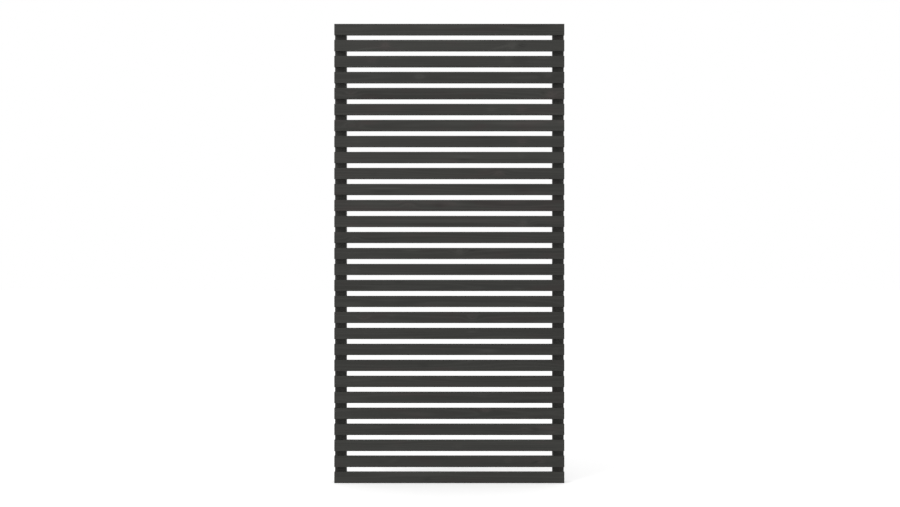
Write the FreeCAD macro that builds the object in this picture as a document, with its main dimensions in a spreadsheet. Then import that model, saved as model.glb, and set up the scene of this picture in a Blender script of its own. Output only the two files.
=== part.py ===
"""Slatted garden fence panel: horizontal timber slats screwed from behind to two upright battens.

Frame: millimetres, +X to the right seen from the front, the slats' faces look towards -Y, +Z up.
The origin is the middle of the panel's footprint, at the height of its lower edge.
"""

import FreeCAD, Part
import math
import os

import Sketcher

SLAT_COUNT = 29
DRIVE_LOBES = 6
FIRST_GUESS = 1.0
TOLERANCE = 1e-3

# Driving sizes, in millimetres and degrees
SIZES = [
    ("slat_length", 900, "cut length of a slat, the panel's width"),
    ("slat_height", 44, "face height of a slat"),
    ("slat_thickness", 20, "planed thickness of a slat"),
    ("slat_gap", 18.6, "open gap between two slats"),
    ("slat_edge_radius", 2, "easing of a slat's long edges"),
    ("batten_width", 44, "width of an upright batten, across the panel"),
    ("batten_depth", 44, "depth of an upright batten, front to back"),
    ("batten_inset", 1, "how far a slat's end runs past the batten's outer side"),
    ("batten_edge_radius", 2, "easing of a batten's long edges"),
    ("screw_slat_edge", 12, "screw's axis to the slat's nearer long edge"),
    ("screw_batten_edge", 12, "screw's axis to the batten's nearer side"),
    ("screw_tip_cover", 8.5, "timber left between a screw's tip and the slat's face"),
    ("screw_clearance", 0.05, "gap between a screw and its hole, all round"),
    ("thread_diameter", 4.2, "outer diameter of the screw's thread"),
    ("thread_depth", 0.55, "height of the thread above the plain shank"),
    ("tip_length", 5, "length of the screw's pointed tip"),
    ("shank_length", 19, "plain shank between thread and head"),
    ("head_diameter", 8, "diameter of the countersunk head"),
    ("head_angle", 90, "angle of the head's cone and of its countersink"),
    ("head_rim", 0.5, "straight rim at the top of the head"),
    ("head_recess", 0.5, "how far the head sits below the batten's back"),
    ("drive_root", 2.9, "round core of the six-lobe drive"),
    ("drive_lobe", 1, "diameter of a lobe, centred on the core's edge"),
    ("drive_depth", 1.8, "depth of the drive in the head"),
]

# Places and lengths that follow from the driving sizes, as expressions on the sheet
PITCH = "(sizes.slat_height + sizes.slat_gap)"
PANEL_HEIGHT = f"({SLAT_COUNT - 1} * {PITCH} + sizes.slat_height)"
SLAT_FRONT = "(-(sizes.slat_thickness + sizes.batten_depth) / 2)"
BATTEN_FRONT = f"({SLAT_FRONT} + sizes.slat_thickness)"
BATTEN_OUTER = "(sizes.slat_length / 2 - sizes.batten_inset)"
BATTEN_INNER = f"({BATTEN_OUTER} - sizes.batten_width)"
HOLE_DIAMETER = "(sizes.thread_diameter + 2 * sizes.screw_clearance)"
SCREW_TIP = f"({SLAT_FRONT} + sizes.screw_tip_cover)"
SCREW_BITE = "(sizes.slat_thickness - sizes.screw_tip_cover)"
SCREW_LENGTH = f"({SCREW_BITE} + sizes.batten_depth - sizes.head_recess)"
PILOT_DEPTH = f"({SCREW_BITE} + sizes.screw_clearance)"
SHANK_DIAMETER = "(sizes.thread_diameter - 2 * sizes.thread_depth)"
CONE_SLOPE = "tan(sizes.head_angle / 2)"
CONE_HEIGHT = f"((sizes.head_diameter - {SHANK_DIAMETER}) / 2 / {CONE_SLOPE})"
COUNTERSINK_DIAMETER = (
    "(sizes.head_diameter + 2 * sizes.screw_clearance"
    f" + 2 * (sizes.head_recess + sizes.head_rim) * {CONE_SLOPE})"
)

# Two screws hold each slat on each batten, on a diagonal so that the timber doesn't split.
# Each place is a distance from the batten's outer side and a height above the slat's lower edge.
SCREW_PLACES = [
    ("sizes.screw_batten_edge", "sizes.screw_slat_edge"),
    (
        "(sizes.batten_width - sizes.screw_batten_edge)",
        "(sizes.slat_height - sizes.screw_slat_edge)",
    ),
]

doc = FreeCAD.newDocument("fence_panel")


def make_sheet():
    """The sheet of driving sizes: one named cell each."""
    sheet = doc.addObject("Spreadsheet::Sheet", "sizes")
    for row, (alias, value, meaning) in enumerate(SIZES, start=1):
        sheet.set(f"A{row}", meaning)
        sheet.set(f"B{row}", str(value))
        sheet.setAlias(f"B{row}", alias)
    doc.recompute()


def new_body(label):
    """An empty body with its name in the tree."""
    body = doc.addObject("PartDesign::Body", label)
    body.Label = label
    return body


def origin_feature(body, role):
    """The body's own origin plane or axis of that role."""
    return next(o for o in body.Origin.OriginFeatures if o.Role == role)


def new_sketch(body, plane, name, offset=None):
    """A sketch on one of the body's origin planes, moved along the plane's normal."""
    sketch = body.newObject("Sketcher::SketchObject", name)
    sketch.AttachmentSupport = [(origin_feature(body, plane), "")]
    sketch.MapMode = "FlatFace"
    if offset:
        sketch.setExpression("AttachmentOffset.Base.z", offset)
    return sketch


def bind(sketch, constraint, expression):
    """Add a constraint whose value follows an expression."""
    index = sketch.addConstraint(constraint)
    sketch.setExpression(f"Constraints[{index}]", expression)


def place_point(sketch, geometry, point, x, y):
    """Hold a point at x, y from the sketch's origin; a zero puts it on the axis."""
    if x == "0":
        sketch.addConstraint(Sketcher.Constraint("PointOnObject", geometry, point, -2))
    else:
        bind(sketch, Sketcher.Constraint("DistanceX", -1, 1, geometry, point, FIRST_GUESS), x)
    if y == "0":
        sketch.addConstraint(Sketcher.Constraint("PointOnObject", geometry, point, -1))
    else:
        bind(sketch, Sketcher.Constraint("DistanceY", -1, 1, geometry, point, FIRST_GUESS), y)


def draw_outline(sketch, corners):
    """A closed outline of straight lines: a regular figure at first, whose corners are then placed."""
    count = len(corners)
    turns = [2 * math.pi * i / count for i in range(count)]
    start = [FreeCAD.Vector(math.cos(t), math.sin(t), 0) for t in turns]
    for i in range(count):
        sketch.addGeometry(Part.LineSegment(start[i], start[(i + 1) % count]))
    for i, (x, y) in enumerate(corners):
        sketch.addConstraint(Sketcher.Constraint("Coincident", (i - 1) % count, 2, i, 1))
        place_point(sketch, i, 1, x, y)


def draw_circle(sketch, x, y, diameter):
    """A circle about a placed centre."""
    circle = Part.Circle(FreeCAD.Vector(), FreeCAD.Vector(0, 0, 1), FIRST_GUESS)
    index = sketch.addGeometry(circle)
    place_point(sketch, index, 3, x, y)
    bind(sketch, Sketcher.Constraint("Diameter", index, FIRST_GUESS), diameter)


def pad(body, sketch, length, side="One side"):
    """Raise a sketch into a bar."""
    feature = body.newObject("PartDesign::Pad", "bar")
    feature.Profile = sketch
    feature.SideType = side
    feature.setExpression("Length", length)
    doc.recompute()
    return feature


def ease_edges(body, bar, direction, radius):
    """Round the bar's four long edges, which run along a direction."""
    long_edges = [
        f"Edge{i}"
        for i, edge in enumerate(bar.Shape.Edges, start=1)
        if edge.tangentAt(edge.FirstParameter).cross(direction).Length < TOLERANCE
    ]
    feature = body.newObject("PartDesign::Fillet", "eased_edges")
    feature.Base = (bar, long_edges)
    feature.setExpression("Radius", radius)
    doc.recompute()
    return feature


def pocket(body, sketch, depth):
    """Cut a sketch that lies on the back of a piece into it, towards -Y."""
    feature = body.newObject("PartDesign::Pocket", "pocket")
    feature.Profile = sketch
    feature.Reversed = True
    feature.setExpression("Length", depth)
    doc.recompute()
    return feature


def check_cut(before, after):
    """Stop if a cut removed nothing."""
    if after.Shape.Volume > before.Shape.Volume - TOLERANCE:
        raise RuntimeError(f"{after.Label} of {after.getParentGeoFeatureGroup().Label} cuts nothing")


def make_slat(number):
    """One slat: a planed board with eased long edges and blind pilot holes in its back."""
    body = new_body(f"slat_{number:02d}")
    section = new_sketch(body, "YZ_Plane", "section")
    thickness, height = "sizes.slat_thickness", "sizes.slat_height"
    draw_outline(section, [("0", "0"), (thickness, "0"), (thickness, height), ("0", height)])
    bar = pad(body, section, "sizes.slat_length", "Symmetric")
    eased = ease_edges(body, bar, FreeCAD.Vector(1, 0, 0), "sizes.slat_edge_radius")

    holes = new_sketch(body, "XZ_Plane", "pilot_holes", "-sizes.slat_thickness")
    for from_outer_side, up in SCREW_PLACES:
        draw_circle(holes, f"{BATTEN_OUTER} - {from_outer_side}", up, HOLE_DIAMETER)
    pilots = pocket(body, holes, PILOT_DEPTH)
    check_cut(eased, pilots)

    both_ends = body.newObject("PartDesign::Mirrored", "both_ends")
    both_ends.Originals = [pilots]
    both_ends.MirrorPlane = (origin_feature(body, "YZ_Plane"), [""])
    body.Tip = both_ends
    doc.recompute()
    check_cut(pilots, both_ends)

    body.setExpression("Placement.Base.y", SLAT_FRONT)
    body.setExpression("Placement.Base.z", f"{number - 1} * {PITCH}")
    return body


def make_batten(label, right):
    """One upright batten, drilled through and countersunk from the back behind every slat."""
    body = new_body(label)
    section = new_sketch(body, "XY_Plane", "section")
    width, depth = "sizes.batten_width", "sizes.batten_depth"
    draw_outline(section, [("0", "0"), (width, "0"), (width, depth), ("0", depth)])
    bar = pad(body, section, PANEL_HEIGHT)
    eased = ease_edges(body, bar, FreeCAD.Vector(0, 0, 1), "sizes.batten_edge_radius")

    places = new_sketch(body, "XZ_Plane", "screw_places", "-sizes.batten_depth")
    for from_outer_side, up in SCREW_PLACES:
        x = f"{width} - {from_outer_side}" if right else from_outer_side
        draw_circle(places, x, up, HOLE_DIAMETER)
    doc.recompute()

    holes = body.newObject("PartDesign::Hole", "screw_holes")
    holes.Profile = places
    holes.Reversed = True
    holes.DepthType = "ThroughAll"
    holes.HoleCutType = "Countersink"
    holes.HoleCutCustomValues = True
    holes.setExpression("HoleCutCountersinkAngle", "sizes.head_angle")
    holes.setExpression("Diameter", HOLE_DIAMETER)
    holes.setExpression("HoleCutDiameter", COUNTERSINK_DIAMETER)
    doc.recompute()
    check_cut(eased, holes)

    every_slat = body.newObject("PartDesign::LinearPattern", "every_slat")
    every_slat.Originals = [holes]
    every_slat.Direction = (origin_feature(body, "Z_Axis"), [""])
    every_slat.Mode = "Spacing"
    every_slat.Occurrences = SLAT_COUNT
    every_slat.setExpression("Offset", PITCH)
    body.Tip = every_slat
    doc.recompute()
    check_cut(holes, every_slat)

    body.setExpression("Placement.Base.x", BATTEN_INNER if right else f"-{BATTEN_OUTER}")
    body.setExpression("Placement.Base.y", BATTEN_FRONT)
    return body


def make_screw():
    """The pattern for every screw: a countersunk wood screw, along +Y from its tip to its head."""
    body = new_body("screw_pattern")
    profile = new_sketch(body, "XY_Plane", "profile")
    thread = "sizes.thread_diameter / 2"
    shank = f"{SHANK_DIAMETER} / 2"
    head = "sizes.head_diameter / 2"
    under_rim = f"{SCREW_LENGTH} - sizes.head_rim"
    under_head = f"{under_rim} - {CONE_HEIGHT}"
    thread_end = f"{under_head} - sizes.shank_length"
    draw_outline(
        profile,
        [
            ("0", "0"),
            (thread, "sizes.tip_length"),
            (thread, thread_end),
            (shank, thread_end),
            (shank, under_head),
            (head, under_rim),
            (head, SCREW_LENGTH),
            ("0", SCREW_LENGTH),
        ],
    )
    turned = body.newObject("PartDesign::Revolution", "turned")
    turned.Profile = profile
    turned.ReferenceAxis = (profile, ["V_Axis"])
    doc.recompute()

    root = new_sketch(body, "XZ_Plane", "drive_root", f"-{SCREW_LENGTH}")
    draw_circle(root, "0", "0", "sizes.drive_root")
    socket = pocket(body, root, "sizes.drive_depth")
    check_cut(turned, socket)

    lobe = new_sketch(body, "XZ_Plane", "drive_lobe", f"-{SCREW_LENGTH}")
    draw_circle(lobe, "sizes.drive_root / 2", "0", "sizes.drive_lobe")
    first_lobe = pocket(body, lobe, "sizes.drive_depth")
    check_cut(socket, first_lobe)

    drive = body.newObject("PartDesign::PolarPattern", "drive")
    drive.Originals = [first_lobe]
    drive.Axis = (origin_feature(body, "Y_Axis"), [""])
    drive.Occurrences = DRIVE_LOBES
    body.Tip = drive
    doc.recompute()
    check_cut(first_lobe, drive)
    return body


def make_screws(label, screw, right):
    """All the screws of one batten, as copies of the pattern set in its holes."""
    copies = []
    for row in range(SLAT_COUNT):
        for from_outer_side, up in SCREW_PLACES:
            x = f"{BATTEN_OUTER} - {from_outer_side}"
            copy = doc.addObject("App::Link", f"{label}_copy")
            copy.LinkedObject = screw
            copy.setExpression("Placement.Base.x", x if right else f"-({x})")
            copy.setExpression("Placement.Base.y", SCREW_TIP)
            copy.setExpression("Placement.Base.z", f"{row} * {PITCH} + {up}")
            copies.append(copy)
    group = doc.addObject("Part::Compound", label)
    group.Label = label
    group.Links = copies
    return group


def check_document(sub_parts):
    """Stop if any object failed to build or any sub-part has a bad shape."""
    for item in doc.Objects:
        if {"Invalid", "Error"} & set(item.State):
            raise RuntimeError(f"{item.Label} failed: {item.State}")
    for part in sub_parts:
        if part.Shape.isNull() or not part.Shape.isValid():
            raise RuntimeError(f"{part.Label} has no valid shape")


make_sheet()
slats = [make_slat(number) for number in range(1, SLAT_COUNT + 1)]
battens = [make_batten("left_batten", right=False), make_batten("right_batten", right=True)]
screw_pattern = make_screw()
screws = [
    make_screws("left_batten_screws", screw_pattern, right=False),
    make_screws("right_batten_screws", screw_pattern, right=True),
]
doc.recompute()

all_parts = slats + battens + screws
check_document(all_parts)
os.makedirs("parts", exist_ok=True)
for part in all_parts:
    part.Shape.exportStep(f"parts/{part.Label}.step")
    print(part.Label, "solids", len(part.Shape.Solids), "volume", round(part.Shape.Volume, 1))
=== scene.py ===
import bpy
import math
import random

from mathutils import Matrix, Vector


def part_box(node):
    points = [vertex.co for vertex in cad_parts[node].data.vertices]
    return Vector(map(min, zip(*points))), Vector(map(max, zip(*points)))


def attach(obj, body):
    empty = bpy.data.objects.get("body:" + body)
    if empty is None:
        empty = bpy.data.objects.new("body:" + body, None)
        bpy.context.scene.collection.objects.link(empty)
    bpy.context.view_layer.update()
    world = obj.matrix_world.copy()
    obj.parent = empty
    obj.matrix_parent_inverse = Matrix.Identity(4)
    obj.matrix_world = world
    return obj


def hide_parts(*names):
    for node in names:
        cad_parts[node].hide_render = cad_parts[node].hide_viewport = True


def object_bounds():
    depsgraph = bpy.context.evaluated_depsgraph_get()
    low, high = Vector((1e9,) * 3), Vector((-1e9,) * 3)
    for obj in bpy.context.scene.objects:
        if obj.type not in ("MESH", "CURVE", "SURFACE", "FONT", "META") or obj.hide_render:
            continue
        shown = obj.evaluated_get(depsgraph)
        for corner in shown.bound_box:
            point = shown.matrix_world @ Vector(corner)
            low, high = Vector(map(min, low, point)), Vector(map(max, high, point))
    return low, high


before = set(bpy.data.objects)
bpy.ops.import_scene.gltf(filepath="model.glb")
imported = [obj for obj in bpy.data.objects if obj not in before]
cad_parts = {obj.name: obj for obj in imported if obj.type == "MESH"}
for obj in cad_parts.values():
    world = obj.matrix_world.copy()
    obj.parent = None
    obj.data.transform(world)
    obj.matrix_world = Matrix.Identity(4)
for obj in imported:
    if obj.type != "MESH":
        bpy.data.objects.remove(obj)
cad_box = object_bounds()
scene = bpy.context.scene

# Upright battens
# One square planed softwood batten stands behind each end of the slats and carries them. It has eased
# edges and an opaque anthracite stain, and two countersunk screw holes from the back behind every slat.
EDGE_RADIUS = 0.002
EDGE_STEPS = 5
SCREW_EDGE = 0.012
HOLE_RADIUS = 0.00215
COUNTERSINK_RADIUS = 0.00505
DRILL_REACH = 0.060
DRILL_OVER = 0.0003
DRILL_SIDES = 24
HARD_EDGE = math.radians(35)
SAWN_EDGE = math.radians(50)
BREAK_STEPS = 2
END_SLOPE = 0.9
X_AXIS = (1.0, 0.0, 0.0)
Z_AXIS = (0.0, 0.0, 1.0)
HALF = (0.5, 0.5, 0.5)
ON_FACE = (1.0, 0.0, 1.0)
ACROSS = (0.0, 1.0, 1.0)
# Painted light: the battens' stain is made paler than the slats', to lighten them where the slats shade them.
# Then how the battens took the stain, and where their log's pith lies: along, behind and beside them
BATTEN_PAINTED_LIFT = 1.17
BATTEN_TONE = 0.44
BATTEN_WARMTH = -0.25
BATTEN_PITH = (7.0, 0.034, 0.021)
# The stain's darkest and palest shade, its shade on end grain, and the tint of its warmer patches
STAIN_DARK = (0.0250, 0.0249, 0.0228)
STAIN_LIGHT = (0.0525, 0.0523, 0.0483)
STAIN_END = (0.0150, 0.0150, 0.0140)
STAIN_WARM = (1.07, 0.962, 0.985, 1.0)
END_COVER = 0.6
# Noise in the grain, in waves per metre along, through and across a board. The noise that makes good and
# bad years has waves per ring, then per metre along the board
DRIFT_WAVES = (1.0, 6.0, 6.0)
FIBRE_WAVES = (14.0, 450.0, 450.0)
PATCH_WAVES = (7.0, 22.0, 22.0)
YEAR_WAVES = (0.28, 1.0, 1.0)
GRAIN_DETAIL = 3.0
YEAR_DETAIL = 2.0
# How far the grain wanders, the share of that which knots and streaks follow, and the rings' shape
DRIFT_REACH = (0.0, 0.026, 0.026)
MARK_DRIFT = (0.0, 0.0, 0.35)
RING_WIDTH = 0.0034
LATE_NARROW = 3.0
# Knots: how far rings bow round one, and the reach of the bow, of its pale glow and of its dark heart
KNOT_PUSH = 0.007
KNOT_BOW = (0.030, 1.0, 0.010)
KNOT_GLOW = (0.016, 1.0, 0.012)
KNOT_HEART = (0.0035, 1.0, 0.0030)
# How much each mark in the wood lightens the stain, warms it, roughens it and stands up from it
LIGHTER = {
    "years": 0.75, "late wood": 0.22, "fibres": 0.38, "patches": 0.26,
    "glow": 0.55, "heart": -0.50, "streaks": 0.80, "worn edge": 0.10,
}
WARMER = {"warm patches": 6.0, "glow": 0.90, "heart": 0.80}
ROUGHER = {"fibres": 0.18, "late wood": -0.08}
RAISED = {"late wood": 0.5, "fibres": 0.8}
ROUGHNESS = 0.68
SHEEN = 0.15
RELIEF = 0.00012
RELIEF_STRENGTH = 0.6

slat_count = sum(node.startswith("slat_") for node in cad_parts)
slat_low, slat_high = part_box("slat_01")
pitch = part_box("slat_02")[0][2] - slat_low[2]


def add_node(tree, kind, inputs=None, **settings):
    """Add a node; its inputs are given by name or number, each as a value or as another node's socket."""
    node = tree.nodes.new(kind)
    for name, value in settings.items():
        setattr(node, name, value)
    for key, value in (inputs or {}).items():
        if isinstance(value, bpy.types.NodeSocket):
            tree.links.new(value, node.inputs[key])
        else:
            node.inputs[key].default_value = value
    return node


def calc(tree, operation, *operands):
    """The result of a sum on numbers."""
    return add_node(tree, "ShaderNodeMath", dict(enumerate(operands)), operation=operation).outputs[0]


def vector_calc(tree, operation, *operands):
    """The result of a sum on vectors: a number for a length or a dot product, otherwise a vector."""
    node = add_node(tree, "ShaderNodeVectorMath", dict(enumerate(operands)), operation=operation)
    return node.outputs["Value" if operation in ("LENGTH", "DOT_PRODUCT") else "Vector"]


def parts_of(tree, vector):
    """A vector's X, Y and Z as numbers."""
    return add_node(tree, "ShaderNodeSeparateXYZ", {0: vector}).outputs


def vector_of(tree, x=0.0, y=0.0, z=0.0):
    """A vector from three numbers."""
    return add_node(tree, "ShaderNodeCombineXYZ", {0: x, 1: y, 2: z}).outputs[0]


def noise(tree, vector, stretch, detail):
    """Smooth noise about zero, from -0.5 to 0.5, finer along the axes that are stretched more."""
    stretched = vector_calc(tree, "MULTIPLY", vector, stretch)
    texture = add_node(tree, "ShaderNodeTexNoise", {"Vector": stretched, "Scale": 1.0, "Detail": detail})
    return vector_calc(tree, "SUBTRACT", texture.outputs["Color"], HALF)


def mark(tree, name, output="Vector"):
    """What the board's mesh keeps under that name."""
    return add_node(tree, "ShaderNodeAttribute", attribute_name=name).outputs[output]


def weighted_sum(tree, start, weights, values):
    """A start value, plus each named value times the weight of that name."""
    total = start
    for name, weight in weights.items():
        total = calc(tree, "MULTIPLY_ADD", values[name], weight, total)
    return total


# Sockets of a node that mixes colours: its share, its two colours, and the result among its outputs
MIX_SHARE, MIX_FIRST, MIX_SECOND, MIX_RESULT = 0, 6, 7, 2


def mixed(tree, share, first, second, how="MIX"):
    """The first colour, changed by that share into the second, or into its product with it."""
    inputs = {MIX_SHARE: share, MIX_FIRST: first, MIX_SECOND: second}
    return add_node(tree, "ShaderNodeMix", inputs, data_type="RGBA", blend_type=how).outputs[MIX_RESULT]


def around(tree, place, name, reach):
    """A marked spot's strength at its middle, fading to nothing over its reach along and across a face."""
    centre = mark(tree, name)
    offset = vector_calc(tree, "SUBTRACT", place, centre)
    scaled = vector_calc(tree, "DIVIDE", vector_calc(tree, "MULTIPLY", offset, ON_FACE), reach)
    squared = vector_calc(tree, "DOT_PRODUCT", scaled, scaled)
    fade = calc(tree, "EXPONENT", calc(tree, "MULTIPLY", squared, -1.0))
    return calc(tree, "MULTIPLY", fade, parts_of(tree, centre)["Y"])


def new_material(name):
    """An empty material and its node tree."""
    material = bpy.data.materials.new(name)
    material.use_nodes = True
    material.node_tree.nodes.clear()
    return material, material.node_tree


KNOT_MARKS = ("Knot 1", "Knot 2")
STREAK_MARKS = ("Streak 1", "Streak 2", "Streak 3")
SPREAD_MARKS = tuple(f"{streak} spread" for streak in STREAK_MARKS)


def round_knots(tree, place, reach):
    """The strength of both of a board's knots together, each fading over its reach."""
    return calc(tree, "ADD", *[around(tree, place, knot, reach) for knot in KNOT_MARKS])


def along_streaks(tree, place):
    """The strength of all of a board's streaks together, each fading over its spread along its rise."""
    total = 0.0
    for streak, spread_mark in zip(STREAK_MARKS, SPREAD_MARKS):
        spread = parts_of(tree, mark(tree, spread_mark))
        past = parts_of(tree, vector_calc(tree, "SUBTRACT", place, mark(tree, streak)))["X"]
        risen = vector_of(tree, z=calc(tree, "MULTIPLY", past, spread["Y"]))
        levelled = vector_calc(tree, "SUBTRACT", place, risen)
        reach = vector_of(tree, spread["X"], 1.0, spread["Z"])
        total = calc(tree, "ADD", around(tree, levelled, streak, reach), total)
    return total


def growth_rings(tree, in_log, drift, bow):
    """The dense late part of each year's ring, and the runs of good and bad years."""
    across = vector_calc(tree, "MULTIPLY", vector_calc(tree, "ADD", in_log, drift), ACROSS)
    radius = calc(tree, "MULTIPLY_ADD", bow, KNOT_PUSH, vector_calc(tree, "LENGTH", across))
    ring = calc(tree, "DIVIDE", radius, RING_WIDTH)
    wave = calc(tree, "SINE", calc(tree, "MULTIPLY", ring, 2 * math.pi))
    late = calc(tree, "POWER", calc(tree, "MULTIPLY_ADD", wave, 0.5, 0.5), LATE_NARROW)
    years = vector_of(tree, ring, parts_of(tree, in_log)["X"])
    return late, parts_of(tree, noise(tree, years, YEAR_WAVES, YEAR_DETAIL))["X"]


def stained_timber(name, shade):
    """Stained softwood: the growth rings of a log, cut by each board at its own distance from the pith."""
    material, tree = new_material(name)
    place = mark(tree, "Board")
    in_log = vector_calc(tree, "ADD", place, mark(tree, "Pith"))
    drift = vector_calc(tree, "MULTIPLY", noise(tree, in_log, DRIFT_WAVES, GRAIN_DETAIL), DRIFT_REACH)
    loose = vector_calc(tree, "ADD", place, vector_calc(tree, "MULTIPLY", drift, MARK_DRIFT))
    late, years = growth_rings(tree, in_log, drift, round_knots(tree, loose, KNOT_BOW))
    patches = parts_of(tree, noise(tree, in_log, PATCH_WAVES, GRAIN_DETAIL))
    wood = {
        "years": years,
        "late wood": late,
        "fibres": parts_of(tree, noise(tree, in_log, FIBRE_WAVES, GRAIN_DETAIL))["X"],
        "patches": patches["X"],
        "warm patches": patches["Y"],
        "glow": round_knots(tree, loose, KNOT_GLOW),
        "heart": round_knots(tree, loose, KNOT_HEART),
        "streaks": along_streaks(tree, loose),
        "worn edge": mark(tree, "Arris", "Fac"),
    }

    # The stain's shades are scaled by the board's given factor; on the battens this is painted light that
    # makes them paler.
    dark, light, end = ([shade * c for c in stain] + [1.0] for stain in (STAIN_DARK, STAIN_LIGHT, STAIN_END))
    tone = weighted_sum(tree, mark(tree, "Tone", "Fac"), LIGHTER, wood)
    warmth = weighted_sum(tree, mark(tree, "Warmth", "Fac"), WARMER, wood)
    warmed = mixed(tree, warmth, mixed(tree, tone, dark, light), STAIN_WARM, "MULTIPLY")
    cut_across = calc(tree, "MULTIPLY", mark(tree, "End grain", "Fac"), END_COVER)
    height = weighted_sum(tree, 0.0, RAISED, wood)
    relief = {"Strength": RELIEF_STRENGTH, "Distance": RELIEF, "Height": height}
    shader = add_node(tree, "ShaderNodeBsdfPrincipled", {
        "Base Color": mixed(tree, cut_across, warmed, end),
        "Roughness": weighted_sum(tree, ROUGHNESS, ROUGHER, wood),
        "Specular IOR Level": SHEEN,
        "Normal": add_node(tree, "ShaderNodeBump", relief).outputs[0],
    })
    add_node(tree, "ShaderNodeOutputMaterial", {0: shader.outputs[0]})
    return material


def new_tree(name, kinds):
    """A Geometry Nodes tree with named inputs, and those inputs' sockets."""
    tree = bpy.data.node_groups.new(name, "GeometryNodeTree")
    for title, kind in kinds.items():
        tree.interface.new_socket(name=title, in_out="INPUT", socket_type=f"NodeSocket{kind}")
    tree.interface.new_socket(name="Geometry", in_out="OUTPUT", socket_type="NodeSocketGeometry")
    return tree, tree.nodes.new("NodeGroupInput").outputs


GRAIN_MARKS = ("Pith", *KNOT_MARKS, *STREAK_MARKS, *SPREAD_MARKS)
BOARD_INPUTS = {
    "Middle": "Vector", "Length": "Float", "Thickness": "Float", "Height": "Float", "Edge radius": "Float",
    "Tone": "Float", "Warmth": "Float", **{name: "Vector" for name in GRAIN_MARKS},
}


def planed_board(tree, sizes):
    """A board along X about the origin: a planed section with eased edges, swept along its length."""
    half = calc(tree, "MULTIPLY", sizes["Length"], 0.5)
    start = vector_of(tree, calc(tree, "MULTIPLY", half, -1.0))
    line = add_node(tree, "GeometryNodeCurvePrimitiveLine", {"Start": start, "End": vector_of(tree, half)})
    section = {"Width": sizes["Thickness"], "Height": sizes["Height"]}
    corners = add_node(tree, "GeometryNodeCurvePrimitiveQuadrilateral", section)
    easing = {"Curve": corners.outputs[0], "Count": EDGE_STEPS, "Radius": sizes["Edge radius"]}
    eased = add_node(tree, "GeometryNodeFilletCurve", easing, mode="POLY")
    sweep = {"Curve": line.outputs[0], "Profile Curve": eased.outputs[0], "Fill Caps": True}
    return add_node(tree, "GeometryNodeCurveToMesh", sweep).outputs[0]


def mark_grain(tree, mesh, sizes, place, grain_axis):
    """Keep on the mesh what its stain reads: places in the board, edges, cut ends and the grain's marks."""
    section = vector_of(tree, 0.0, sizes["Thickness"], sizes["Height"])
    half = vector_calc(tree, "MULTIPLY", section, HALF)
    past_faces = parts_of(tree, vector_calc(tree, "SUBTRACT", vector_calc(tree, "ABSOLUTE", place), half))
    into_edge = []
    for axis in ("Y", "Z"):
        share = calc(tree, "DIVIDE", past_faces[axis], sizes["Edge radius"])
        into_edge.append(calc(tree, "MAXIMUM", calc(tree, "ADD", share, 1.0), 0.0))
    normal = tree.nodes.new("GeometryNodeInputNormal").outputs[0]
    along_grain = calc(tree, "ABSOLUTE", vector_calc(tree, "DOT_PRODUCT", normal, grain_axis))
    marks = [
        ("Board", place, "FLOAT_VECTOR", "POINT"),
        ("Arris", calc(tree, "MULTIPLY", *into_edge), "FLOAT", "POINT"),
        ("End grain", calc(tree, "GREATER_THAN", along_grain, END_SLOPE), "FLOAT", "FACE"),
        ("Tone", sizes["Tone"], "FLOAT", "POINT"),
        ("Warmth", sizes["Warmth"], "FLOAT", "POINT"),
    ]
    marks += [(name, sizes[name], "FLOAT_VECTOR", "POINT") for name in GRAIN_MARKS]
    for name, value, data_type, domain in marks:
        inputs = {"Geometry": mesh, "Name": name, "Value": value}
        kept = add_node(tree, "GeometryNodeStoreNamedAttribute", inputs, data_type=data_type, domain=domain)
        mesh = kept.outputs[0]
    return mesh


def finish_tree(tree, geometry, material):
    """End a tree in one real mesh with its hard edges marked and its material."""
    real = add_node(tree, "GeometryNodeRealizeInstances", {0: geometry})
    smooth = add_node(tree, "GeometryNodeSetShadeSmooth", {0: real.outputs[0], "Shade Smooth": True})
    angle = tree.nodes.new("GeometryNodeInputMeshEdgeAngle").outputs[0]
    soft = calc(tree, "LESS_THAN", angle, HARD_EDGE)
    edges = {0: smooth.outputs[0], "Shade Smooth": soft}
    creased = add_node(tree, "GeometryNodeSetShadeSmooth", edges, domain="EDGE")
    finished = add_node(tree, "GeometryNodeSetMaterial", {0: creased.outputs[0], "Material": material})
    add_node(tree, "NodeGroupOutput", {0: finished.outputs[0]})


def make_piece(name, tree, values, broken_ends=0.0):
    """Run a tree with these inputs, break the edges of its sawn ends, and keep the result as a plain mesh."""
    piece = bpy.data.objects.new(name, bpy.data.meshes.new(name))
    scene.collection.objects.link(piece)
    maker = piece.modifiers.new("make", "NODES")
    maker.node_group = tree
    for item in tree.interface.items_tree:
        if item.in_out == "INPUT" and item.name in values:
            maker[item.identifier] = values[item.name]
    if broken_ends:
        bevel = piece.modifiers.new("broken ends", "BEVEL")
        bevel.width = broken_ends
        bevel.segments = BREAK_STEPS
        bevel.limit_method = "ANGLE"
        bevel.angle_limit = SAWN_EDGE
    flats = piece.modifiers.new("flat faces", "WEIGHTED_NORMAL")
    flats.keep_sharp = True
    evaluated = piece.evaluated_get(bpy.context.evaluated_depsgraph_get())
    mesh = bpy.data.meshes.new_from_object(evaluated)
    piece.modifiers.clear()
    piece.data = mesh
    return piece


ROW_INPUTS = {
    "Pattern": "Object", "Outer row": "Vector", "Inner row": "Vector", "Pitch": "Vector", "Slats": "Int",
}
BACKWARDS = (-math.pi / 2, 0.0, 0.0)
UPRIGHT = (0.0, -math.pi / 2, 0.0)


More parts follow.
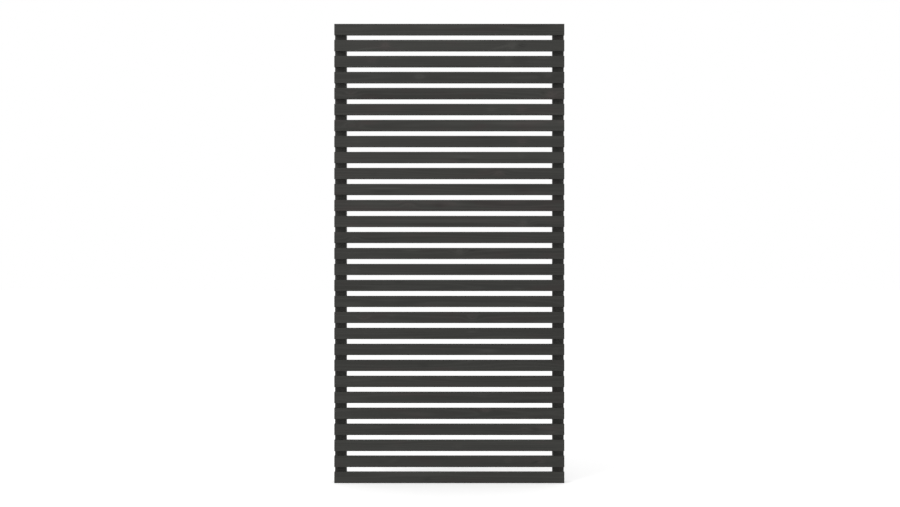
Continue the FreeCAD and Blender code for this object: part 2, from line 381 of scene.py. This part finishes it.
def at_screws(tree, sizes, turn):
    """The pattern, set at every screw's place: a row near a batten's outer edge and one near its inner."""
    places = tree.nodes.new("GeometryNodeJoinGeometry")
    for row in ("Outer row", "Inner row"):
        line = {"Count": sizes["Slats"], "Start Location": sizes[row], "Offset": sizes["Pitch"]}
        tree.links.new(add_node(tree, "GeometryNodeMeshLine", line).outputs[0], places.inputs[0])
    pattern = add_node(tree, "GeometryNodeObjectInfo", {"Object": sizes["Pattern"]}).outputs["Geometry"]
    spots = {"Points": places.outputs[0], "Instance": pattern, "Rotation": turn}
    placed = add_node(tree, "GeometryNodeInstanceOnPoints", spots)
    return add_node(tree, "GeometryNodeRealizeInstances", {0: placed.outputs[0]}).outputs[0]


def batten_tree(material):
    """A board turned upright, drilled through and countersunk from the back at its screws' places."""
    tree, sizes = new_tree("batten", {**BOARD_INPUTS, **ROW_INPUTS})
    turned_up = {0: planed_board(tree, sizes), "Translation": sizes["Middle"], "Rotation": UPRIGHT}
    upright = add_node(tree, "GeometryNodeTransform", turned_up).outputs[0]
    drilling = {"Mesh 1": upright, "Mesh 2": at_screws(tree, sizes, BACKWARDS)}
    drilled = add_node(tree, "GeometryNodeMeshBoolean", drilling, operation="DIFFERENCE", solver="EXACT")
    position = tree.nodes.new("GeometryNodeInputPosition").outputs[0]
    from_middle = parts_of(tree, vector_calc(tree, "SUBTRACT", position, sizes["Middle"]))
    place = vector_of(tree, from_middle["Z"], from_middle["Y"], from_middle["X"])
    finish_tree(tree, mark_grain(tree, drilled.outputs[0], sizes, place, Z_AXIS), material)
    return tree


def turned(name, rings, sides, lobes=1):
    """A closed shape turned about Z from the top down: each ring's radius, height, and depth of its lobes."""
    points = []
    for radius, height, lobe in rings:
        for side in range(sides):
            turn = 2 * math.pi * side / sides
            reach = radius + lobe * math.cos(lobes * turn)
            points.append((reach * math.cos(turn), reach * math.sin(turn), height))
    last = len(points) - sides
    faces = [range(sides), range(len(points) - 1, last - 1, -1)]
    for here in range(0, last, sides):
        below = here + sides
        for side in range(sides):
            beside = (side + 1) % sides
            faces.append((here + side, below + side, below + beside, here + beside))
    mesh = bpy.data.meshes.new(name)
    mesh.from_pydata(points, [], faces)
    return bpy.data.objects.new(name, mesh)


def middle_of(low, high):
    """The middle of a box."""
    return [(a + b) / 2 for a, b in zip(low, high)]


drill_bit = turned("drill_bit", [
    (COUNTERSINK_RADIUS + DRILL_OVER, DRILL_OVER, 0.0),
    (HOLE_RADIUS, HOLE_RADIUS - COUNTERSINK_RADIUS, 0.0),
    (HOLE_RADIUS, -DRILL_REACH, 0.0),
], DRILL_SIDES)
# The battens' stain carries painted light: it is paler than the slats' to lighten the gaps the slats shade.
drilled_batten = batten_tree(stained_timber("batten_stain_painted_lighter", BATTEN_PAINTED_LIFT))
screws_of = {}
for side, node in ((-1, "left_batten"), (1, "right_batten")):
    low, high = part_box(node)
    outer, inner = (low[0], high[0]) if side < 0 else (high[0], low[0])
    rows = {
        "Outer row": (outer - side * SCREW_EDGE, high[1], slat_low[2] + SCREW_EDGE),
        "Inner row": (inner + side * SCREW_EDGE, high[1], slat_high[2] - SCREW_EDGE),
        "Pitch": (0.0, 0.0, pitch),
        "Slats": slat_count,
    }
    screws_of[node] = rows
    batten = make_piece(f"stained_{node}", drilled_batten, {
        **rows,
        "Pattern": drill_bit,
        "Middle": middle_of(low, high),
        "Length": high[2] - low[2],
        "Thickness": high[1] - low[1],
        "Height": high[0] - low[0],
        "Edge radius": EDGE_RADIUS,
        "Tone": BATTEN_TONE,
        "Warmth": BATTEN_WARMTH,
        "Pith": (side * BATTEN_PITH[0], BATTEN_PITH[1], side * BATTEN_PITH[2]),
    })
    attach(batten, "root")
    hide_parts(node)
bpy.data.objects.remove(drill_bit)

# Slats
# Planed softwood boards lie across the battens' fronts, an open gap apart, with eased long edges. Each is
# stained all round before it is screwed on. Some have knots, round which the grain flares, or pale streaks.
END_BREAK = 0.0004
SLAT_SHADE = 1.0
SLAT_TONE = 0.43
TONE_SPREAD = 0.05
SLAT_WARMTH = -0.30
PITH_NEAR = 0.030
PITH_FAR = 0.075
PITH_UP = 0.030
LOG_STEP = 3.0
SAW_SEED = 29
MILLIMETRE = 0.001
# Knots by slat, counted from the lowest: millimetres along it and up from its middle, and strength
KNOTS = {
    2: [(230, 4, 0.6), (355, 3, 0.7)],
    4: [(295, 0, 0.5)],
    5: [(140, 9, 0.4)],
    6: [(130, 12, 0.3)],
    11: [(-335, 0, 0.5), (90, 0, 0.7)],
    14: [(-370, 0, 0.5)],
    15: [(40, 6, 0.9)],
    16: [(-370, -2, 0.6)],
    17: [(290, -5, 0.9)],
    18: [(-160, 2, 0.5)],
    20: [(195, 1, 0.8)],
    21: [(280, 10, 0.5)],
    22: [(285, 0, 0.6)],
    23: [(-380, 2, 0.5)],
    24: [(165, 0, 0.5), (280, 0, 0.5)],
    25: [(395, -3, 0.8), (-385, 0, 0.5)],
    26: [(-115, 2, 0.4), (385, 4, 0.4)],
    27: [(230, 8, 0.6), (-300, 2, 0.5)],
    28: [(245, 1, 1.1), (-250, 0, 0.9)],
}
# Streaks in the same way, dark where the strength is negative, then their reach, slope and height
STREAKS = {
    1: [(-115, 9, 0.4, 20, 0, 6), (-85, -7, -0.4, 15, 0, 6)],
    2: [(-35, 12, -0.5, 130, 0, 3), (-220, 4, 0.36, 20, 0.3, 8), (340, -1, -0.7, 14, 0.35, 4)],
    3: [(30, -3, 0.3, 25, 0, 8), (-220, 0, 0.18, 30, 0, 12)],
    4: [(335, 0, -0.36, 12, 0, 9), (395, -12, 0.5, 20, 0, 4)],
    5: [(295, -15, 0.5, 20, 0, 3)],
    6: [(225, 0, -0.24, 30, 0, 10), (305, -13, -0.6, 60, 0, 3)],
    7: [(-375, 9, 0.5, 30, 0, 3), (310, 12, 0.6, 50, 0, 3), (235, 13, -0.4, 20, 0, 3)],
    8: [(-100, 0, -0.24, 20, 0, 10)],
    9: [(155, -3, 0.6, 30, 0, 6), (-190, 9, 0.6, 14, 0, 3), (415, -3, 0.24, 10, 0, 10)],
    10: [(90, 9, 0.6, 20, 0, 4)],
    11: [(-225, 8, 0.5, 18, 0, 4), (225, -13, 0.5, 45, 0, 3)],
    12: [(-225, 2, 0.18, 30, 0, 12)],
    13: [(-195, 13, -0.4, 20, 0, 3), (270, -12, 0.5, 18, 0, 3)],
    14: [(115, 0, -0.18, 60, 0, 12)],
    15: [(-150, 11, 0.7, 30, 0, 3), (180, 12, 0.5, 50, 0, 3), (90, 12, -0.4, 15, 0, 4)],
    17: [(-20, 4, 0.5, 350, 0, 4), (-30, -10, -0.4, 250, 0, 4), (350, -12, -0.4, 35, 0, 4)],
    18: [(-40, 0, -0.3, 18, 0, 10), (20, 0, 0.18, 30, 0, 12), (-295, 0, 0.18, 90, 0, 12)],
    19: [(-250, 4, 0.9, 60, 0, 3), (-260, -7, -0.5, 50, 0, 4), (280, -1, -0.24, 30, 0, 12)],
    20: [(-295, -2, -0.24, 20, 0, 10)],
    21: [(60, 4, 0.9, 30, 0, 3), (60, -8, -0.5, 30, 0, 4), (300, -3, -0.24, 70, 0, 12)],
    22: [(-360, 0, 0.24, 40, 0, 12), (125, 14, -0.4, 80, 0, 3), (170, -3, -0.18, 80, 0, 12)],
    23: [(260, 11, 0.9, 100, 0, 4), (20, 12, 0.4, 150, 0, 3), (435, 12, 0.6, 15, 0, 3)],
    24: [(-255, 0, 0.18, 60, 0, 12), (-100, 0, -0.18, 80, 0, 12)],
    25: [(370, 4, -0.6, 12, -0.3, 5), (-305, 15, 0.5, 90, 0, 3), (-305, 0, -0.24, 50, 0, 10)],
    27: [(-215, 11, 0.5, 25, 0, 4), (370, 12, 0.6, 30, 0, 4), (280, 0, -0.24, 30, 0, 12)],
    28: [(220, -3, 0.8, 45, 0.2, 4), (280, 1, -0.36, 18, 0, 12), (-320, -13, 0.7, 40, 0.1, 3)],
    29: [(-320, 12, 0.4, 20, 0, 3), (285, 12, -0.5, 100, 0, 3)],
}
# How much paler or, where negative, darker each slat's stain is. It is partly the boards' own tone and partly
# painted light: the lowest slats are made paler against the shade near the floor
PALER_TONE_AND_LIGHT = {
    1: 0.15, 2: 0.10, 3: 0.15, 6: -0.05, 7: -0.05, 8: -0.05, 9: -0.15, 10: -0.10, 11: 0.05, 13: -0.20,
    14: -0.15, 16: -0.10, 17: 0.10, 18: -0.05, 19: -0.05, 20: 0.10, 21: 0.15, 22: 0.05, 23: 0.10, 28: 0.15,
    29: 0.05,
}
# How much warmer a slat took the stain
WARMER_SLATS = {6: 0.20, 11: 0.40, 16: 0.15, 17: 0.20, 18: 0.75, 23: 0.40, 24: 0.35, 25: 0.40}


def slat_tree(material):
    """A board along X, moved to its place on the battens."""
    tree, sizes = new_tree("slat", BOARD_INPUTS)
    moved = {0: planed_board(tree, sizes), "Translation": sizes["Middle"]}
    slat = add_node(tree, "GeometryNodeTransform", moved).outputs[0]
    position = tree.nodes.new("GeometryNodeInputPosition").outputs[0]
    place = vector_calc(tree, "SUBTRACT", position, sizes["Middle"])
    finish_tree(tree, mark_grain(tree, slat, sizes, place, X_AXIS), material)
    return tree


def spot(along, up, strength):
    """A spot on a board's face as its mesh keeps it, with the strength where the depth would be."""
    return along * MILLIMETRE, strength, up * MILLIMETRE


def grain_marks(number):
    """A slat's knots and streaks, by the name of the board's input that takes them."""
    marks = {name: spot(*knot) for name, knot in zip(KNOT_MARKS, KNOTS.get(number, []))}
    for name, spread_name, streak in zip(STREAK_MARKS, SPREAD_MARKS, STREAKS.get(number, [])):
        along, up, strength, reach, rise, height = streak
        marks[name] = spot(along, up, strength)
        marks[spread_name] = (reach * MILLIMETRE, rise, height * MILLIMETRE)
    return marks


planed_slat = slat_tree(stained_timber("slat_stain", SLAT_SHADE))
sawing = random.Random(SAW_SEED)
for number in range(1, slat_count + 1):
    node = f"slat_{number:02d}"
    low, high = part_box(node)
    pith_side = sawing.choice((-1, 1))
    pith_depth = pith_side * sawing.uniform(PITH_NEAR, PITH_FAR)
    slat = make_piece(f"stained_{node}", planed_slat, {
        "Middle": middle_of(low, high),
        "Length": high[0] - low[0],
        "Thickness": high[1] - low[1],
        "Height": high[2] - low[2],
        "Edge radius": EDGE_RADIUS,
        # Part of this tone is painted light, lifting the lowest slats against the floor's shade
        "Tone": SLAT_TONE + sawing.uniform(-TONE_SPREAD, TONE_SPREAD) + PALER_TONE_AND_LIGHT.get(number, 0.0),
        "Warmth": SLAT_WARMTH + WARMER_SLATS.get(number, 0.0),
        "Pith": (number * LOG_STEP, pith_depth, sawing.uniform(-PITH_UP, PITH_UP)),
        **grain_marks(number),
    }, END_BREAK)
    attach(slat, "root")
    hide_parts(node)

# Screws
# Countersunk stainless wood screws with a six-lobe drive hold each slat, two at each batten. They are driven
# from the back, so that only their heads show there, a little below the batten's surface.
HEAD_RADIUS = 0.0040
HEAD_RIM = 0.0005
HEAD_RECESS = 0.0005
SHANK_RADIUS = 0.0021
SHANK_TOP = SHANK_RADIUS - HEAD_RADIUS - HEAD_RIM
TIP_RADIUS = 0.0003
TIP_LENGTH = 0.005
SCREW_LENGTH = 0.055
DRIVE_RADIUS = 0.00165
DRIVE_LOBE = 0.00030
DRIVE_DEPTH = 0.0018
DRIVE_LOBES = 6
SCREW_SIDES = 12
STOP_SEED = 4
STEEL_DULL = (0.36, 0.355, 0.34, 1)
STEEL_BRIGHT = (0.60, 0.59, 0.57, 1)
DUST_WAVES = (260.0, 260.0, 260.0)
DUST_DETAIL = 3.0
SCRATCH_WAVES = (1500.0, 1500.0, 6000.0)
SCRATCH_DETAIL = 2.0
STEEL_ROUGHNESS = 0.36
STEEL_ROUGHER = {"dust": 0.2, "scratches": 0.15}
SCRATCH_DEPTH = 0.00002
SCRATCH_STRENGTH = 0.3


def stainless_steel():
    """Satin stainless steel with fine turning marks, and dull patches where stain dust has settled."""
    material, tree = new_material("stainless_steel")
    place = add_node(tree, "ShaderNodeTexCoord").outputs["Object"]
    surface = {
        "dust": parts_of(tree, noise(tree, place, DUST_WAVES, DUST_DETAIL))["X"],
        "scratches": parts_of(tree, noise(tree, place, SCRATCH_WAVES, SCRATCH_DETAIL))["X"],
    }
    wiped = calc(tree, "ADD", surface["dust"], 0.5)
    scratched = {"Strength": SCRATCH_STRENGTH, "Distance": SCRATCH_DEPTH, "Height": surface["scratches"]}
    shader = add_node(tree, "ShaderNodeBsdfPrincipled", {
        "Base Color": mixed(tree, wiped, STEEL_DULL, STEEL_BRIGHT),
        "Metallic": 1.0,
        "Roughness": weighted_sum(tree, STEEL_ROUGHNESS, STEEL_ROUGHER, surface),
        "Normal": add_node(tree, "ShaderNodeBump", scratched).outputs[0],
    })
    add_node(tree, "ShaderNodeOutputMaterial", {0: shader.outputs[0]})
    return material


def screws_tree(material):
    """One screw, driven at every place of a batten's two rows, each turned as it happened to stop."""
    tree, sizes = new_tree("screws", ROW_INPUTS)
    stops = {"Min": BACKWARDS, "Max": (BACKWARDS[0], 2 * math.pi, 0.0), "Seed": STOP_SEED}
    stop = add_node(tree, "FunctionNodeRandomValue", stops, data_type="FLOAT_VECTOR")
    finish_tree(tree, at_screws(tree, sizes, stop.outputs[0]), material)
    return tree


one_screw = turned("one_screw", [
    (DRIVE_RADIUS, -DRIVE_DEPTH, DRIVE_LOBE),
    (DRIVE_RADIUS, 0.0, DRIVE_LOBE),
    (HEAD_RADIUS, 0.0, 0.0),
    (HEAD_RADIUS, -HEAD_RIM, 0.0),
    (SHANK_RADIUS, SHANK_TOP, 0.0),
    (SHANK_RADIUS, TIP_LENGTH - SCREW_LENGTH, 0.0),
    (TIP_RADIUS, -SCREW_LENGTH, 0.0),
], SCREW_SIDES, DRIVE_LOBES)
driven_screws = screws_tree(stainless_steel())
for node, rows in screws_of.items():
    sunk = {**rows, "Pattern": one_screw}
    for row in ("Outer row", "Inner row"):
        x, y, z = rows[row]
        sunk[row] = (x, y - HEAD_RECESS, z)
    screws = make_piece(f"steel_{node}_screws", driven_screws, sunk)
    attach(screws, "root")
    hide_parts(f"{node}_screws")
bpy.data.objects.remove(one_screw)

# Studio
# A plain pale floor lies in an even white room, with one large soft lamp in front, above and to the left.
# The camera sees the room and the unshaded floor as white.
FLOOR_REACH = 30.0
FLOOR_PALE = (0.86, 0.86, 0.86, 1)
FLOOR_LIFT = 0.34
ROOM_WHITE = (1.0, 1.0, 1.0, 1)
ROOM_LIGHT = 0.845
LAMP_PLACE = (-5.0, -6.0, 6.0)
LAMP_SIZE = 4.0
LAMP_WATTS = 220.0


def seen_directly(tree):
    """One for rays from the camera, in reflections and through glass, otherwise nothing."""
    path = tree.nodes.new("ShaderNodeLightPath").outputs
    seen = calc(tree, "MAXIMUM", path["Is Camera Ray"], path["Is Glossy Ray"])
    return calc(tree, "MAXIMUM", seen, path["Is Transmission Ray"])


def pale_floor():
    """A matt pale floor, lifted to white where nothing shades it."""
    material, tree = new_material("pale_floor")
    matt = add_node(tree, "ShaderNodeBsdfDiffuse", {"Color": FLOOR_PALE})
    lift = calc(tree, "MULTIPLY", seen_directly(tree), FLOOR_LIFT)
    glow = add_node(tree, "ShaderNodeEmission", {"Strength": lift})
    lifted = add_node(tree, "ShaderNodeAddShader", {0: matt.outputs[0], 1: glow.outputs[0]})
    add_node(tree, "ShaderNodeOutputMaterial", {0: lifted.outputs[0]})
    return material


def white_room():
    """Even light from all round, seen as plain white."""
    world = bpy.data.worlds.new("white_room")
    world.use_nodes = True
    tree = world.node_tree
    tree.nodes.clear()
    light = add_node(tree, "ShaderNodeBackground", {"Color": ROOM_WHITE, "Strength": ROOM_LIGHT})
    white = add_node(tree, "ShaderNodeBackground", {"Color": ROOM_WHITE, "Strength": 1.0})
    both = {0: seen_directly(tree), 1: light.outputs[0], 2: white.outputs[0]}
    add_node(tree, "ShaderNodeOutputWorld", {0: add_node(tree, "ShaderNodeMixShader", both).outputs[0]})
    return world


floor_mesh = bpy.data.meshes.new("floor")
corners = [(x * FLOOR_REACH, y * FLOOR_REACH, 0.0) for x, y in ((-1, -1), (1, -1), (1, 1), (-1, 1))]
floor_mesh.from_pydata(corners, [], [(0, 1, 2, 3)])
floor_mesh.materials.append(pale_floor())
floor = bpy.data.objects.new("floor", floor_mesh)
scene.collection.objects.link(floor)
scene.world = white_room()

middle = middle_of(*cad_box)
lamp_data = bpy.data.lights.new("soft_lamp", "AREA")
lamp_data.size = LAMP_SIZE
lamp_data.energy = LAMP_WATTS
lamp = bpy.data.objects.new("soft_lamp", lamp_data)
scene.collection.objects.link(lamp)
lamp.location = LAMP_PLACE
towards_panel = Vector(middle) - lamp.location
lamp.rotation_euler = towards_panel.to_track_quat("-Z", "Y").to_euler()

# Camera
# The photograph looks straight at the panel from just under six metres, at half its height and a little
# right of its middle. Its frame is shifted to hold the panel in the middle.
CAMERA_AWAY = 5.8
CAMERA_RIGHT = 0.08
FRAME_RIGHT = 0.0027
LENS = 59.33
SENSOR = 36.0

camera_data = bpy.data.cameras.new("camera")
camera_data.lens = LENS
camera_data.sensor_width = SENSOR
camera_data.shift_x = (FRAME_RIGHT - CAMERA_RIGHT) * LENS / (CAMERA_AWAY * SENSOR)
camera = bpy.data.objects.new("camera", camera_data)
scene.collection.objects.link(camera)
camera.location = (CAMERA_RIGHT, cad_box[0][1] - CAMERA_AWAY, middle[2])
camera.rotation_euler = (math.pi / 2, 0.0, 0.0)
scene.camera = camera
scene.view_settings.view_transform = "Standard"
